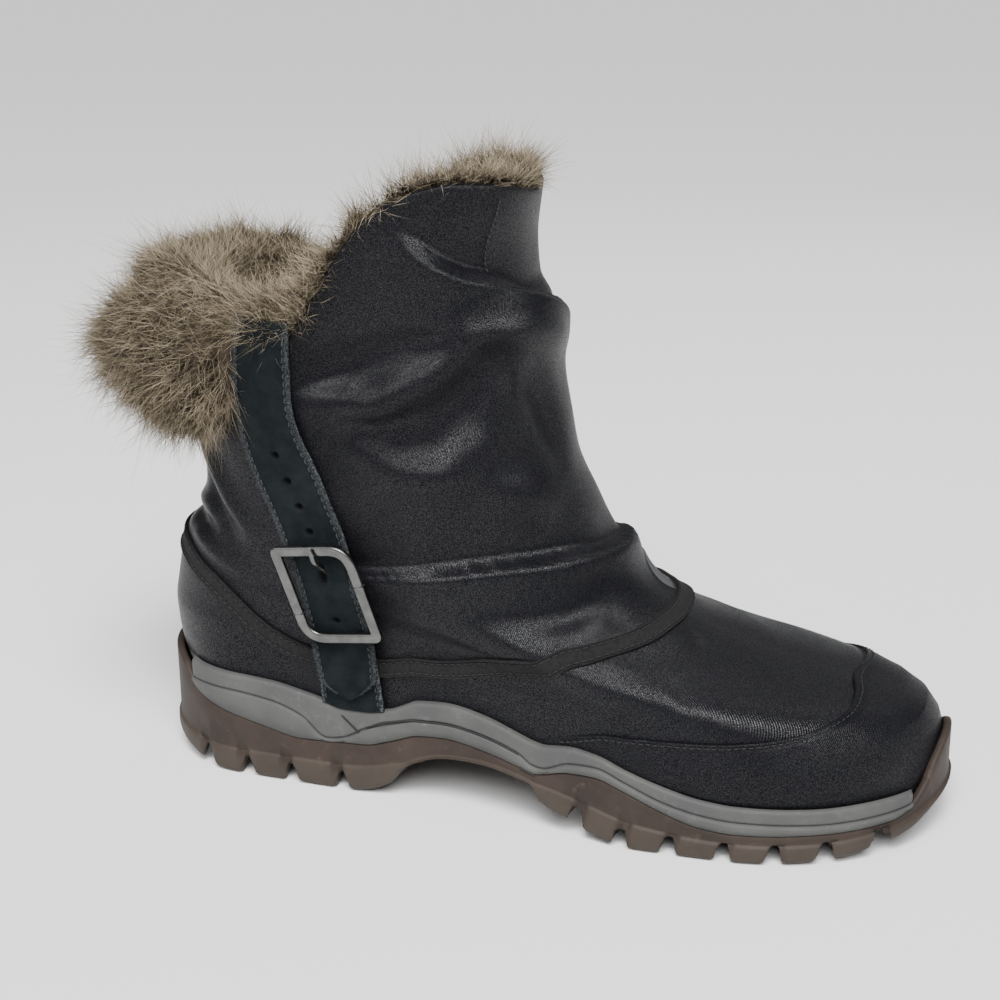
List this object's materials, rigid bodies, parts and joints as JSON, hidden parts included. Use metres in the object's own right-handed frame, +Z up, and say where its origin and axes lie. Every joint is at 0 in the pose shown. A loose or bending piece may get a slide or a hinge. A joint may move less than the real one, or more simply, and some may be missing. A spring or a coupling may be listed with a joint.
{
  "type": "waterproof boot",
  "caption": "Right-foot winter ankle boot: satin nylon upper, fur lining turned out into a cuff behind, suede strap with metal buckle, foam midsole and lugged rubber outsole.",
  "frame": {"origin": "on the floor plane under the middle of the heel, in the middle plane of the sole", "axes": "+X runs to the toe, +Y to the inner (medial) side of this right boot, +Z up out of the shaft"},
  "size_m": [0.3098, 0.1122, 0.2235],
  "materials": {
    "satin_nylon": "satin",
    "trim_ribbon": "matte",
    "coated_toe": "satin",
    "suede": "matte",
    "buckle_metal": "brushed",
    "midsole_foam": "matte",
    "outsole_rubber": "matte",
    "insole_felt": "matte",
    "fur": "fibrous"
  },
  "bodies": {
    "root": {"upper": "satin_nylon", "midsole": "midsole_foam", "outsole": "outsole_rubber", "insole": "insole_felt", "ankle_band": "trim_ribbon", "toe_rand": "coated_toe", "strap": "suede", "strap_anchor": "suede", "buckle_frame": "buckle_metal", "buckle_prong": "buckle_metal", "fur_lining": "fur", "fur_cuff": "fur"}
  },
  "joints": []
}
